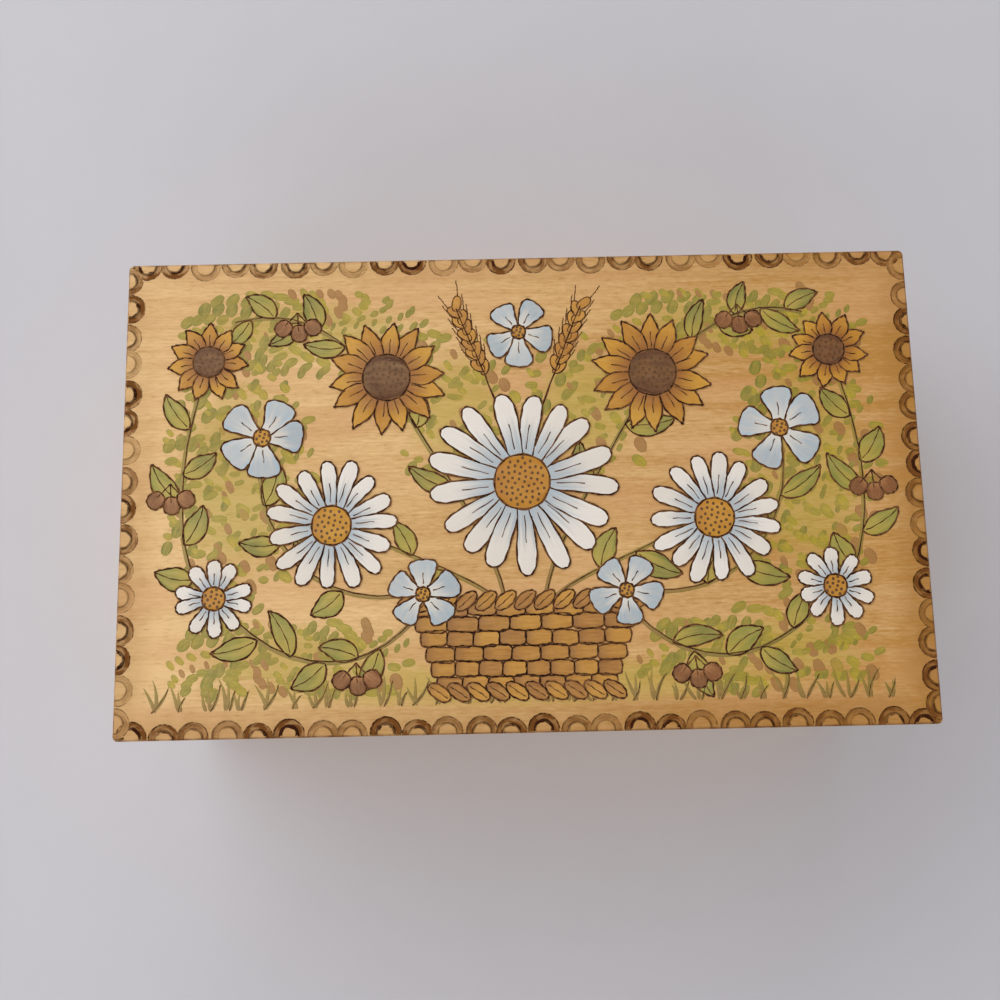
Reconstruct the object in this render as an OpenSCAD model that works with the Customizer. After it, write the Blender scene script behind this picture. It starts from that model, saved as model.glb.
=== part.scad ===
// Carved wooden trinket box with a hinged lid.
// The case and the rim of the lid are finger-jointed boards.
// A solid board with a stamped border closes the lid, and two small butt hinges are let into the seam.
// Millimetres, +Z up, front towards -Y, origin at the middle of the underside.

/* [Case] */
// Width of the box, along the front
case_w = 160; // [120:1:220]
// Depth of the box, front to back
case_d = 96; // [76:1:140]
// Height of the case walls, from the table to the seam
body_h = 40; // [28:1:80]
// Thickness of the wall boards
wall_t = 8; // [7:0.5:12]
// Radius of the sanded vertical corners
corner_r = 1; // [1:0.25:4]
// Height of one finger of the corner joints
finger_h = 8; // [5:0.5:14]

/* [Lid] */
// Height of the rails under the lid board
rail_h = 12; // [10:0.5:30]
// Thickness of the lid board
board_t = 8; // [5:0.5:14]
// Width of the eased upper edge of the lid board
board_ease = 0.4; // [0.2:0.1:0.9]

/* [Stamped border] */
// Outside diameter of the ring stamp
stamp_d = 6; // [4:0.1:8]
// Width of the ring that the stamp leaves
stamp_band = 1.3; // [0.5:0.05:1.8]
// Depth of the stamp in the wood
stamp_depth = 0.35; // [0.2:0.05:0.8]
// Least distance between the middles of two stamps in a row
stamp_pitch = 5.9; // [5.5:0.05:9]
// Distance of a stamp's middle from the edge of the board
stamp_inset = 0.35; // [0:0.05:1]
// Distance from a corner to the middle of the first stamp
stamp_end = 3.6; // [3:0.1:7]
// How far a stamp strays along the edge, as set by hand
stamp_stray = 0.3; // [0:0.05:0.4]
// How far a stamp strays towards the edge or away from it
stamp_reach = 0.35; // [0:0.05:0.6]

/* [Bottom] */
// Thickness of the bottom board
bottom_t = 4; // [3:0.5:6]
// Width of the rebate that takes the bottom board
rebate_w = 4; // [3:0.5:5]
// Gap around the bottom board in its rebate
rebate_gap = 0.15; // [0.05:0.05:0.4]
// Diameter of a brad
brad_d = 1.2; // [0.8:0.1:1.6]
// Diameter of a brad's head
brad_head_d = 2.2; // [1.8:0.1:2.6]
// Thickness of a brad's head
brad_head_t = 0.5; // [0.3:0.1:1]
// Length of a brad
brad_len = 12; // [8:0.5:16]
// How far a brad's head is punched below the surface
brad_sunk = 0.2; // [0.1:0.1:0.5]
// Largest distance between two brads along an edge
brad_pitch = 48; // [25:1:80]

/* [Lining] */
// Thickness of the felt on the floor
felt_t = 1.2; // [0.6:0.1:3]
// Gap between the felt and the walls
felt_gap = 0.4; // [0.2:0.1:1.5]

/* [Hinges] */
// Length of a hinge along its pin
hinge_len = 20; // [16:1:30]
// Distance from the end of the box to the middle of a hinge
hinge_inset = 35; // [26:1:50]
// Width of a leaf on the wood
leaf_w = 5.6; // [4.5:0.1:6.5]
// Thickness of a leaf
leaf_t = 0.9; // [0.6:0.1:1.4]
// Gap between the closed leaves
leaf_gap = 0.3; // [0.1:0.05:0.5]
// Gap around a leaf in its mortise
mortise_gap = 0.1; // [0.05:0.05:0.3]
// Gap between a leaf's plate and the other leaf's knuckles
root_gap = 0.4; // [0.2:0.1:1]
// Outside diameter of the knuckles
knuckle_d = 3.2; // [2.8:0.1:4.5]
// Number of knuckles, an odd number
knuckle_n = 3; // [3:2:5]
// Gap between two knuckles
knuckle_gap = 0.2; // [0.1:0.05:0.4]
// Gap between the knuckles and the back of the box
back_gap = 0.2; // [0.1:0.05:0.5]
// Diameter of a hinge pin
pin_d = 1.5; // [1:0.1:1.8]
// Gap around a pin in its knuckles
pin_gap = 0.05; // [0.02:0.01:0.1]
// Diameter of a pin's peened head
pin_head_d = 2.2; // [2:0.1:2.6]
// Thickness of a pin's peened head
pin_head_t = 0.4; // [0.2:0.1:0.8]

/* [Screws] */
// Diameter of a hinge screw
screw_d = 1.8; // [1.4:0.1:2.2]
// Diameter of a screw's countersunk head
screw_head_d = 3.2; // [2.8:0.1:3.6]
// Length of a screw, head included
screw_len = 8; // [6:0.5:9]
// Distance between the two screws of a leaf
screw_span = 11; // [8:0.5:12]
// Width of the slot in a screw's head
slot_w = 0.5; // [0.3:0.1:0.7]
// Depth of the slot in a screw's head
slot_depth = 0.3; // [0.1:0.1:0.5]
// Gap around brads and screws in their holes
hole_gap = 0.05; // [0.02:0.01:0.1]

/* [Hidden] */
$fn = 48;

// Overcut of a cutting tool past the face that it opens
over = 1;

// Inside of the case
inner_w = case_w - 2 * wall_t;
inner_d = case_d - 2 * wall_t;

// Bottom board, as wide as the inside and the rebates
bottom_w = inner_w + 2 * rebate_w - 2 * rebate_gap;
bottom_d = inner_d + 2 * rebate_w - 2 * rebate_gap;
brad_inset = rebate_w / 2;

// Hinge axis, behind the box in the plane of the seam
seam_z = body_h;
back_y = case_d / 2;
axis_y = back_y + back_gap + knuckle_d / 2;
hinge_x = case_w / 2 - hinge_inset;
knuckle_len = hinge_len / knuckle_n;
leaf_root_y = axis_y - knuckle_d / 2 - root_gap;
leaf_edge_y = back_y - leaf_w;
screw_y = back_y - leaf_w / 2;
screw_head_h = (screw_head_d - screw_d) / 2;

// Golden angle, which gives the stamps strays that never repeat
golden_turn = 137.5;
// Number of the first stamp in the front, back, right and left row, so that no two rows stray alike
row_first = [0, 100, 200, 300];

wood = "burlywood";
rim_wood = "tan";
plywood = "wheat";
felt = "darkolivegreen";
brass = "goldenrod";
steel = "silver";

// Shared shapes

// Upright prism of the box's outline, with the sanded corners, from z0 to z1
module outline_prism(z0, z1) {
    translate([0, 0, z0]) linear_extrude(z1 - z0) difference() {
        square([case_w, case_d], center = true);
        for (flip_x = [0, 1], flip_y = [0, 1])
            mirror([flip_x, 0]) mirror([0, flip_y]) translate([case_w / 2, case_d / 2]) corner_waste();
    }
}

// What sanding takes off a corner: the square outside the corner's arc
module corner_waste() {
    difference() {
        translate([-corner_r, -corner_r]) square(corner_r + over);
        translate([-corner_r, -corner_r]) circle(corner_r);
    }
}

// Blocks at the four corners between z0 and z1, at the heights of every other finger.
// Fingers are counted from the table, so the joint runs on from the case into the lid.
module corner_fingers(z0, z1, odd) {
    first = floor(z0 / finger_h);
    last = ceil(z1 / finger_h) - 1;
    for (i = [first:last]) if (i % 2 == odd) {
        low = (i == first) ? z0 - over : i * finger_h;
        high = (i == last) ? z1 + over : (i + 1) * finger_h;
        x = (case_w - wall_t + over) / 2;
        y = (case_d - wall_t + over) / 2;
        for (sx = [-1, 1], sy = [-1, 1]) translate([sx * x, sy * y, (low + high) / 2])
            cube([wall_t + over, wall_t + over, high - low], center = true);
    }
}

// One long board of the front or back, side -1 or 1, with its even fingers left standing
module long_board(side, z0, z1) {
    intersection() {
        outline_prism(z0, z1);
        difference() {
            translate([0, side * (case_d - wall_t) / 2, (z0 + z1) / 2])
                cube([case_w, wall_t, z1 - z0], center = true);
            corner_fingers(z0, z1, 1);
        }
    }
}

// One short board of the left or right, side -1 or 1, with its odd fingers left standing
module short_board(side, z0, z1) {
    intersection() {
        outline_prism(z0, z1);
        difference() {
            translate([side * (case_w - wall_t) / 2, 0, (z0 + z1) / 2])
                cube([wall_t, case_d, z1 - z0], center = true);
            corner_fingers(z0, z1, 0);
        }
    }
}

// Room for the bottom board under the walls
module bottom_pocket() {
    pocket_w = inner_w + 2 * rebate_w;
    pocket_d = inner_d + 2 * rebate_w;
    translate([-pocket_w / 2, -pocket_d / 2, -over]) cube([pocket_w, pocket_d, bottom_t + over]);
}

// Puts its children at every brad, evenly along the edges of the bottom board
module at_brads() {
    x_end = bottom_w / 2 - brad_inset;
    y_end = bottom_d / 2 - brad_inset;
    long_n = ceil(2 * x_end / brad_pitch);
    short_n = ceil(2 * y_end / brad_pitch);
    for (i = [0:long_n - 1], side = [-1, 1])
        translate([x_end * (2 * i + 1 - long_n) / long_n, side * y_end, 0]) children();
    for (i = [0:short_n - 1], side = [-1, 1])
        translate([side * x_end, y_end * (2 * i + 1 - short_n) / short_n, 0]) children();
}

// Brad, head down, grown all round by gap for its hole
module brad(gap = 0) {
    translate([0, 0, brad_sunk - gap]) cylinder(d = brad_head_d + 2 * gap, h = brad_head_t + gap);
    translate([0, 0, brad_sunk]) cylinder(d = brad_d + 2 * gap, h = brad_len + gap);
}

// Hole that a brad leaves, open to the underside above its head
module brad_hole() {
    brad(hole_gap);
    translate([0, 0, -over]) cylinder(d = brad_head_d + 2 * hole_gap, h = brad_sunk + over);
}

// Puts its children at both screws of a hinge, on the seam
module at_screws(side) {
    for (s = [-1, 1]) translate([side * hinge_x + s * screw_span / 2, screw_y, seam_z]) children();
}

// Countersunk screw pointing up from the closed leaf, grown all round by gap for its hole
module screw_body(gap = 0) {
    translate([0, 0, leaf_gap / 2]) {
        cylinder(d1 = screw_head_d + 2 * gap, d2 = screw_d + 2 * gap, h = screw_head_h);
        cylinder(d = screw_d + 2 * gap, h = screw_len + gap);
    }
}

module screw() {
    difference() {
        screw_body();
        translate([0, 0, leaf_gap / 2]) cube([screw_head_d + over, slot_w, 2 * slot_depth], center = true);
    }
}

// Turns what is drawn for the lid's side of the seam over to the case's side
module on_case() {
    translate([0, 0, 2 * seam_z]) mirror([0, 0, 1]) children();
}

// Mortise and screw holes that a leaf takes in the lid's back rail
module leaf_mortise(side) {
    mortise_len = hinge_len + 2 * mortise_gap;
    translate([side * hinge_x - mortise_len / 2, leaf_edge_y - mortise_gap, seam_z - over])
        cube([mortise_len, leaf_w + mortise_gap + over, over + leaf_gap / 2 + leaf_t]);
    at_screws(side) screw_body(hole_gap);
}

// Hinge leaf on the lid's side of the seam: a plate in the mortise and its knuckles round the pin.
// The knuckles with an odd number are the lid's, and the even ones are the case's.
module leaf(side, odd) {
    translate([side * hinge_x, 0, seam_z]) difference() {
        union() {
            translate([-hinge_len / 2, leaf_edge_y, leaf_gap / 2])
                cube([hinge_len, leaf_root_y - leaf_edge_y, leaf_t]);
            for (i = [odd:2:knuckle_n - 1])
                translate([-hinge_len / 2 + i * knuckle_len + knuckle_gap / 2, 0, 0]) knuckle();
        }
        translate([-hinge_len / 2 - over, axis_y, 0]) rotate([0, 90, 0])
            cylinder(d = pin_d + 2 * pin_gap, h = hinge_len + 2 * over);
    }
}

// One knuckle: the barrel and the neck that joins it to the plate
module knuckle() {
    translate([0, axis_y, 0]) rotate([0, 90, 0]) cylinder(d = knuckle_d, h = knuckle_len - knuckle_gap);
    translate([0, leaf_root_y, leaf_gap / 2]) cube([knuckle_len - knuckle_gap, axis_y - leaf_root_y, leaf_t]);
}

module hinge_leaf(side, odd) {
    difference() {
        leaf(side, odd);
        at_screws(side) screw_body(hole_gap);
    }
}

module hinge_pin(side) {
    translate([side * hinge_x, axis_y, seam_z]) rotate([0, 90, 0]) {
        cylinder(d = pin_d, h = hinge_len, center = true);
        for (s = [0, 1]) mirror([0, 0, s]) translate([0, 0, hinge_len / 2])
            cylinder(d1 = pin_head_d, d2 = pin_d, h = pin_head_t);
    }
}

// Stamped border

// Offsets of stamp k, in no visible order, as a hand sets it: along the edge and away from it
function stray(k) = [stamp_stray * sin(golden_turn * k), stamp_reach * cos(golden_turn * k)];

// Stamps along one edge of the given length, drawn with the edge on y = 0 and the wood above it
module stamp_row(length, start) {
    span = length - 2 * stamp_end;
    steps = floor(span / stamp_pitch);
    for (i = [0:steps])
        translate([span * (i / steps - 0.5), stamp_inset] + stray(start + i))
            difference() {
                circle(d = stamp_d);
                circle(d = stamp_d - 2 * stamp_band);
            }
}

// All four rows, cut from the top of the lid board down
module stamped_border(top_z) {
    translate([0, 0, top_z - stamp_depth]) linear_extrude(stamp_depth + over) {
        translate([0, -case_d / 2]) stamp_row(case_w, row_first[0]);
        rotate(180) translate([0, -case_d / 2]) stamp_row(case_w, row_first[1]);
        rotate(90) translate([0, -case_w / 2]) stamp_row(case_d, row_first[2]);
        rotate(-90) translate([0, -case_w / 2]) stamp_row(case_d, row_first[3]);
    }
}

// Waste outside an eased edge, drawn with the sharp edge at the origin, outwards along x and up along y
module ease_waste() {
    polygon([[-board_ease, 0], [0, -board_ease], [over, -board_ease], [over, over], [-board_ease, over]]);
}

// Straight run of the waste, along x, for an edge that faces -y
module ease_run(length) {
    rotate([90, 0, -90]) linear_extrude(length, center = true) ease_waste();
}

// Eased upper edges: a run along each side and a turned quarter round each corner
module eased_edges(top_z) {
    for (turn = [0, 180]) rotate(turn) {
        translate([0, -case_d / 2, top_z]) ease_run(case_w - 2 * corner_r);
        rotate(90) translate([0, -case_w / 2, top_z]) ease_run(case_d - 2 * corner_r);
    }
    for (turn = [0:90:270]) {
        sx = (turn == 0 || turn == 270) ? 1 : -1;
        sy = (turn < 180) ? 1 : -1;
        translate([sx * (case_w / 2 - corner_r), sy * (case_d / 2 - corner_r), top_z]) rotate(turn)
            rotate_extrude(angle = 90) translate([corner_r, 0]) ease_waste();
    }
}

// Case

module front_wall() {
    color(rim_wood) difference() {
        long_board(-1, 0, body_h);
        bottom_pocket();
        at_brads() brad_hole();
    }
}

module back_wall() {
    color(rim_wood) difference() {
        long_board(1, 0, body_h);
        bottom_pocket();
        at_brads() brad_hole();
        for (side = [-1, 1]) on_case() leaf_mortise(side);
    }
}

module left_wall() {
    color(rim_wood) difference() {
        short_board(-1, 0, body_h);
        bottom_pocket();
        at_brads() brad_hole();
    }
}

module right_wall() {
    color(rim_wood) difference() {
        short_board(1, 0, body_h);
        bottom_pocket();
        at_brads() brad_hole();
    }
}

module bottom_panel() {
    color(plywood) difference() {
        translate([-bottom_w / 2, -bottom_d / 2, 0]) cube([bottom_w, bottom_d, bottom_t]);
        at_brads() brad_hole();
    }
}

module bottom_brads() {
    color(steel) at_brads() brad();
}

module floor_lining() {
    felt_w = inner_w - 2 * felt_gap;
    felt_d = inner_d - 2 * felt_gap;
    color(felt) translate([-felt_w / 2, -felt_d / 2, bottom_t]) cube([felt_w, felt_d, felt_t]);
}

module left_hinge_case_leaf() {
    color(brass) on_case() hinge_leaf(-1, 0);
}

module right_hinge_case_leaf() {
    color(brass) on_case() hinge_leaf(1, 0);
}

module left_hinge_pin() {
    color(steel) hinge_pin(-1);
}

module right_hinge_pin() {
    color(steel) hinge_pin(1);
}

module case_hinge_screws() {
    color(brass) for (side = [-1, 1]) on_case() at_screws(side) screw();
}

// Lid

module lid_board() {
    top_z = seam_z + rail_h + board_t;
    color(wood) difference() {
        outline_prism(seam_z + rail_h, top_z);
        eased_edges(top_z);
        stamped_border(top_z);
    }
}

module lid_front_rail() {
    color(rim_wood) long_board(-1, seam_z, seam_z + rail_h);
}

module lid_back_rail() {
    color(rim_wood) difference() {
        long_board(1, seam_z, seam_z + rail_h);
        for (side = [-1, 1]) leaf_mortise(side);
    }
}

module lid_left_rail() {
    color(rim_wood) short_board(-1, seam_z, seam_z + rail_h);
}

module lid_right_rail() {
    color(rim_wood) short_board(1, seam_z, seam_z + rail_h);
}

module left_hinge_lid_leaf() {
    color(brass) hinge_leaf(-1, 1);
}

module right_hinge_lid_leaf() {
    color(brass) hinge_leaf(1, 1);
}

module lid_hinge_screws() {
    color(brass) for (side = [-1, 1]) at_screws(side) screw();
}

front_wall();
back_wall();
left_wall();
right_wall();
bottom_panel();
bottom_brads();
floor_lining();
left_hinge_case_leaf();
right_hinge_case_leaf();
left_hinge_pin();
right_hinge_pin();
case_hinge_screws();
lid_board();
lid_front_rail();
lid_back_rail();
lid_left_rail();
lid_right_rail();
left_hinge_lid_leaf();
right_hinge_lid_leaf();
lid_hinge_screws();
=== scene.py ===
import bpy
import numpy as np
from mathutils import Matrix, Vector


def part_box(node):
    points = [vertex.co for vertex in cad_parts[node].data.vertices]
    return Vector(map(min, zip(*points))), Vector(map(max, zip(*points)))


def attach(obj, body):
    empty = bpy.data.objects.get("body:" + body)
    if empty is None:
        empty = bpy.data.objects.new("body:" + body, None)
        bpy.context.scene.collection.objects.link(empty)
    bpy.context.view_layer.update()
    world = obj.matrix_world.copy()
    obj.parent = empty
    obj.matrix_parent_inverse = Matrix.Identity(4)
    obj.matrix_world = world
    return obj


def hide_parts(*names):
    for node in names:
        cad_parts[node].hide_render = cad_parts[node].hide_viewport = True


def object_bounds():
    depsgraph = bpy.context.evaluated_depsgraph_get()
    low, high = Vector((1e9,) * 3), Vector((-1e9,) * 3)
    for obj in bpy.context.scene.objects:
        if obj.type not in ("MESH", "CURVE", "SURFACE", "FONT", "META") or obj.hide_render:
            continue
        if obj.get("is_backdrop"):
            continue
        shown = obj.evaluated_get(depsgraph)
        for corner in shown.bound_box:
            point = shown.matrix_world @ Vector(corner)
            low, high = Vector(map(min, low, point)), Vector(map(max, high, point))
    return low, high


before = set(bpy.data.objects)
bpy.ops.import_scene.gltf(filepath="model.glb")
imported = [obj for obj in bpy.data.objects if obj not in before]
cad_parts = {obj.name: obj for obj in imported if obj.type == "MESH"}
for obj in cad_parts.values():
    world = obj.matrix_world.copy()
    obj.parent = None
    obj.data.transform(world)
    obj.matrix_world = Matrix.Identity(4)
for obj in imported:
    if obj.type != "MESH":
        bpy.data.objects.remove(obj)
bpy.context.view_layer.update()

# Case walls
# Four boards of pale lime wood, finger-jointed and glued at the corners, then sanded and varnished.
# The grain runs along each board, so a finger's end shows end grain beside the other board's face.
MM = 0.001
ALONG_X = 0.0
ALONG_Y = np.pi / 2
# Each board's grain, and the shift in millimetres that brings its pith to the origin
BOARDS = {"front": (ALONG_X, (300, 61, 31)), "back": (ALONG_X, (900, -20, 42)),
          "left": (ALONG_Y, (500, 95, 28)), "right": (ALONG_Y, (700, -70, 12))}
WOOD_PALE = (239, 199, 142)
WOOD_DEEP = (188, 136, 66)
WOOD_FLUSH = (222, 170, 120)
WOOD_PORE = (148, 102, 56)
WOOD_END = (166, 118, 68)
WOOD_DEPTH = 0.2
RING = 2.4
LATE_END = 0.92
# Noises by their turns per millimetre along, across and through a board, detail and roughness
SWAY = ((0.009, 0.04, 0.04), 2.0, 0.5)
BANDS = ((0.02, 0.4, 0.4), 3.0, 0.6)
FIBRES = ((0.07, 2.6, 2.6), 4.0, 0.65)
FLECKS = ((0.42, 2.1, 2.1), 4.0, 0.66)
CLOUDS = ((0.016, 0.06, 0.06), 2.0, 0.5)
FLUSHES = ((0.03, 0.12, 0.12), 1.0, 0.5)
# The strength and the depth of a relief
GRAIN_RELIEF = (0.25, 0.08 * MM)
SATIN = 0.54
SATIN_GRAIN = 0.12
VARNISHED = {"Specular IOR Level": 0.2}
# Soil colour, which along the lid's seam also serves as painted shade
SOIL_AND_SHADE = (128, 88, 50)
SOIL_PATCHES = (140, 4.0, 0.65)
# Where soil at the corners and foot, and painted shade along the lid's seam, start to thin out and where they
# end
CORNER_SOIL = (0.1 * MM, 1.8 * MM)
FOOT_SOIL = (0.2 * MM, 2.6 * MM)
SEAM_SHADE = (0.12 * MM, 0.5 * MM)
WALL_EASE = 0.22 * MM
WELD_GAP = 0.002 * MM
FLAT_ANGLE = np.radians(1)
SHARP_ANGLE = np.radians(50)
case_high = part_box("right_wall")[1]


def srgb(colour):
    """A colour written as 0 to 255 per channel, as linear red, green, blue and alpha."""
    c = np.array(colour) / 255
    linear = np.where(c <= 0.04045, c / 12.92, ((c + 0.055) / 1.055) ** 2.4)
    return (*linear.tolist(), 1.0)


class Wire:
    """One output socket of a material's nodes. Sums and products of wires and numbers add Math nodes."""

    def __init__(self, tree, socket=None):
        self.tree = tree
        self.socket = socket

    def node(self, kind, settings=None, sockets=None, output=0):
        """Adds a node: its settings first, then the values or wires of its sockets. Returns one output."""
        made = self.tree.nodes.new("ShaderNode" + kind)
        for key, value in (settings or {}).items():
            setattr(made, key, value)
        for key, value in (sockets or {}).items():
            if isinstance(value, Wire):
                self.tree.links.new(value.socket, made.inputs[key])
            else:
                made.inputs[key].default_value = value
        return Wire(self.tree, made.outputs[output])

    def math(self, operation, *values):
        return self.node("Math", {"operation": operation}, dict(enumerate(values)))

    def __add__(self, other):
        return self.math("ADD", self, other)

    def __sub__(self, other):
        return self.math("SUBTRACT", self, other)

    def __rsub__(self, other):
        return self.math("SUBTRACT", other, self)

    def __mul__(self, other):
        return self.math("MULTIPLY", self, other)

    def __truediv__(self, other):
        return self.math("DIVIDE", self, other)

    def __pow__(self, other):
        return self.math("POWER", self, other)

    def __abs__(self):
        return self.math("ABSOLUTE", self)

    __radd__ = __add__
    __rmul__ = __mul__

    def step(self, low, high):
        """0 below low, 1 above high and a smooth slope between."""
        limits = {"Value": self, "From Min": low, "From Max": high}
        return self.node("MapRange", {"interpolation_type": "SMOOTHSTEP"}, limits)

    def clamped(self):
        return self.node("Clamp", {}, {0: self})

    def mix(self, first, second):
        """The first colour where this wire is 0 and the second where it is 1, each a wire or 0 to 255."""
        first, second = (end if isinstance(end, Wire) else srgb(end) for end in (first, second))
        return self.node("Mix", {"data_type": "RGBA"}, {0: self, 6: first, 7: second}, 2)

    def place(self, kind="Object"):
        """Where a point lies in the box's frame, in metres, or for Normal which way it faces."""
        return self.node("TexCoord", output=kind)

    def marks(self, *names):
        """Numbers that a mesh keeps for each of its points."""
        return [self.node("Attribute", {"attribute_name": name}, output="Fac") for name in names]

    def axes(self):
        return [self.node("SeparateXYZ", {}, {0: self}, axis) for axis in "XYZ"]

    def noise(self, turns, detail, rough):
        """Noise at this wire's place, by its turns per unit of length, which may differ by axis."""
        scaled = {0: self, 1: np.broadcast_to(turns, 3).tolist()}
        place = self.node("VectorMath", {"operation": "MULTIPLY"}, scaled)
        grain = {"Vector": place, "Scale": 1.0, "Detail": detail, "Roughness": rough}
        return self.node("TexNoise", {}, grain)

    def into(self, shader, name):
        self.tree.links.new(self.socket, shader.inputs[name])

    def bump(self, shader, strength, depth):
        """Lets a shader's surface rise and fall with this wire."""
        relief = {"Strength": strength, "Distance": depth, "Height": self}
        self.node("Bump", {}, relief).into(shader, "Normal")


def new_finish(name, even):
    """A new material, with what is even all over it, a wire to start from, and its shader."""
    made = bpy.data.materials.new(name)
    made.use_nodes = True
    shader = made.node_tree.nodes["Principled BSDF"]
    for key, value in even.items():
        shader.inputs[key].default_value = value
    return made, Wire(made.node_tree), shader


def year_rings(phase, late_end):
    """A tree's rings, one to each unit of the phase: 0 in early wood, rising to 1 in late wood."""
    year = phase.math("FRACT", phase)
    return year.step(0.3, late_end) * (1 - year.step(late_end + 0.01, 1.0))


def lime_wood(start, turn, pith, drift=0.0, depth=WOOD_DEPTH):
    """Colour and height of solid wood, in millimetres from a pith line that runs along the grain.
    Rings lie at even distances from the pith, swayed by slow noise. Fibres and flecks are noise drawn out
    along the grain, and end grain is darker. The tone drifts along the board from its depth at mid length,
    which on the lid is painted shade that darkens it towards the right."""
    to_board = {"Vector": start.place(), "Location": pith, "Rotation": (0, 0, -turn), "Scale": (1 / MM,) * 3}
    board = start.node("Mapping", {}, to_board)
    along, across, through = board.axes()
    sway = board.noise(*SWAY) - 0.5
    from_pith = ((across + sway * 9) ** 2 + (through + sway * 5) ** 2) ** 0.5
    late = year_rings(from_pith / RING + sway, LATE_END)
    band = board.noise(*BANDS)
    fibre = board.noise(*FIBRES)
    fleck = board.noise(*FLECKS)
    pore = fleck.step(0.6, 0.76)
    cloud = board.noise(*CLOUDS).step(0.3, 0.7)
    flush = board.noise(*FLUSHES).step(0.42, 0.66)
    tone = depth + late * 0.12 + cloud * 0.24 + (along - pith[0]) * drift
    tone = tone + (band - 0.5) * 0.7 + (fibre - 0.5) * 0.7 + (fleck - 0.5) * 1.2
    colour = tone.mix(WOOD_PALE, WOOD_DEEP)
    colour = (flush * 0.4).mix(colour, WOOD_FLUSH)
    colour = (pore * 0.4).mix(colour, WOOD_PORE)
    grain = (float(np.cos(turn)), float(np.sin(turn)), 0.0)
    with_grain = {0: start.place("Normal"), 1: grain}
    end = abs(start.node("VectorMath", {"operation": "DOT_PRODUCT"}, with_grain, "Value"))
    end_grain = end.step(0.6, 0.9) * (0.25 + 0.4 * fibre + 0.25 * late)
    return end_grain.mix(colour, WOOD_END), fibre - pore * 0.8


def worn_and_shaded(start, colour):
    """The colour of a wall, soiled by hands along the box's upright corners and its foot, and darkened along
    the lid's seam, partly by soil and partly by painted shade in the seam's groove.
    On the outer faces the distances to the two sides add up to the distance to the nearest corner."""
    place = start.place()
    x, y, z = place.axes()
    upright = 1 - abs(start.place("Normal").axes()[2]).step(0.3, 0.6)
    from_corner = case_high[0] - abs(x) + case_high[1] - abs(y)
    patchy = place.noise(*SOIL_PATCHES).step(0.3, 0.72)
    corner = 1 - from_corner.step(*CORNER_SOIL)
    foot = 1 - z.step(*FOOT_SOIL)
    # A dark line along the lid's seam: painted shade in its groove, with some soil
    seam = 1 - abs(z - case_high[2]).step(*SEAM_SHADE)
    soil_and_shade = (corner * patchy * 0.45 + foot * patchy * 0.4 + seam * 0.5) * upright
    return soil_and_shade.mix(colour, SOIL_AND_SHADE)


def varnish(shader, colour, roughness, height):
    """Wood or paint under a thin coat of satin varnish, which the fibres show through."""
    colour.into(shader, "Base Color")
    roughness.into(shader, "Roughness")
    height.bump(shader, *GRAIN_RELIEF)


def varnished_board(name, turn, pith):
    """A board of the walls, with its grain and the place of its pith."""
    made, start, shader = new_finish(name, VARNISHED)
    colour, height = lime_wood(start, turn, pith)
    varnish(shader, worn_and_shaded(start, colour), SATIN - height * SATIN_GRAIN, height)
    return made


def modify(piece, kind, **settings):
    """Adds a modifier with its settings."""
    made = piece.modifiers.new(kind.lower(), kind)
    for key, value in settings.items():
        setattr(made, key, value)


def dress(node, material, ease=0.0):
    """Gives a CAD node its material, and eases its real edges by a bevel once its facets are joined."""
    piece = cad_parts[node]
    piece.data.materials.clear()
    piece.data.materials.append(material)
    if ease:
        modify(piece, "WELD", merge_threshold=WELD_GAP)
        modify(piece, "DECIMATE", decimate_type="DISSOLVE", angle_limit=FLAT_ANGLE)
        modify(piece, "BEVEL", width=ease, segments=2, limit_method="ANGLE", angle_limit=SHARP_ANGLE,
               use_clamp_overlap=False)


board_woods = {side: varnished_board(side + "_board_wood", *cut) for side, cut in BOARDS.items()}
for side, wood in board_woods.items():
    dress(side + "_wall", wood, WALL_EASE)

# Bottom board
# A sheet of thin birch plywood let into the rebate under the walls, sanded but not varnished.
# Its face veneer is peeled from the log, so the rings show as broad pale contours.
PLY_PALE = (228, 196, 146)
PLY_DEEP = (192, 148, 94)
PLY_CONTOURS = ((8, 34, 34), 2.0, 0.5)
PLY_YEARS = 18
PLY_LATE_END = 0.93
PLY_FIBRES = ((70, 2400, 2400), 3.0, 0.65)
BARE_RELIEF = (0.3, 0.08 * MM)
PLY_EASE = 0.1 * MM
plywood, start, shader = new_finish("birch_plywood", {})
place = start.place()
late = year_rings(place.noise(*PLY_CONTOURS) * PLY_YEARS, PLY_LATE_END)
fibre = place.noise(*PLY_FIBRES)
(late * 0.4 + (fibre - 0.3) * 0.8).mix(PLY_PALE, PLY_DEEP).into(shader, "Base Color")
(0.85 - fibre * 0.2).into(shader, "Roughness")
fibre.bump(shader, *BARE_RELIEF)
dress("bottom_panel", plywood, PLY_EASE)

# Brads
# Bright steel nails driven through the bottom board into the walls.
# Their heads are punched just below the board's face.
STEEL = (172, 170, 166)
STEEL_DULL = (112, 106, 98)
DULL_SPOTS = (2200, 3.0, 0.5)
METAL = {"Metallic": 1.0}
steel, start, shader = new_finish("nail_steel", METAL)
dull = start.place().noise(*DULL_SPOTS)
dull.mix(STEEL, STEEL_DULL).into(shader, "Base Color")
(0.25 + dull * 0.3).into(shader, "Roughness")
dress("bottom_brads", steel)

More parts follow.
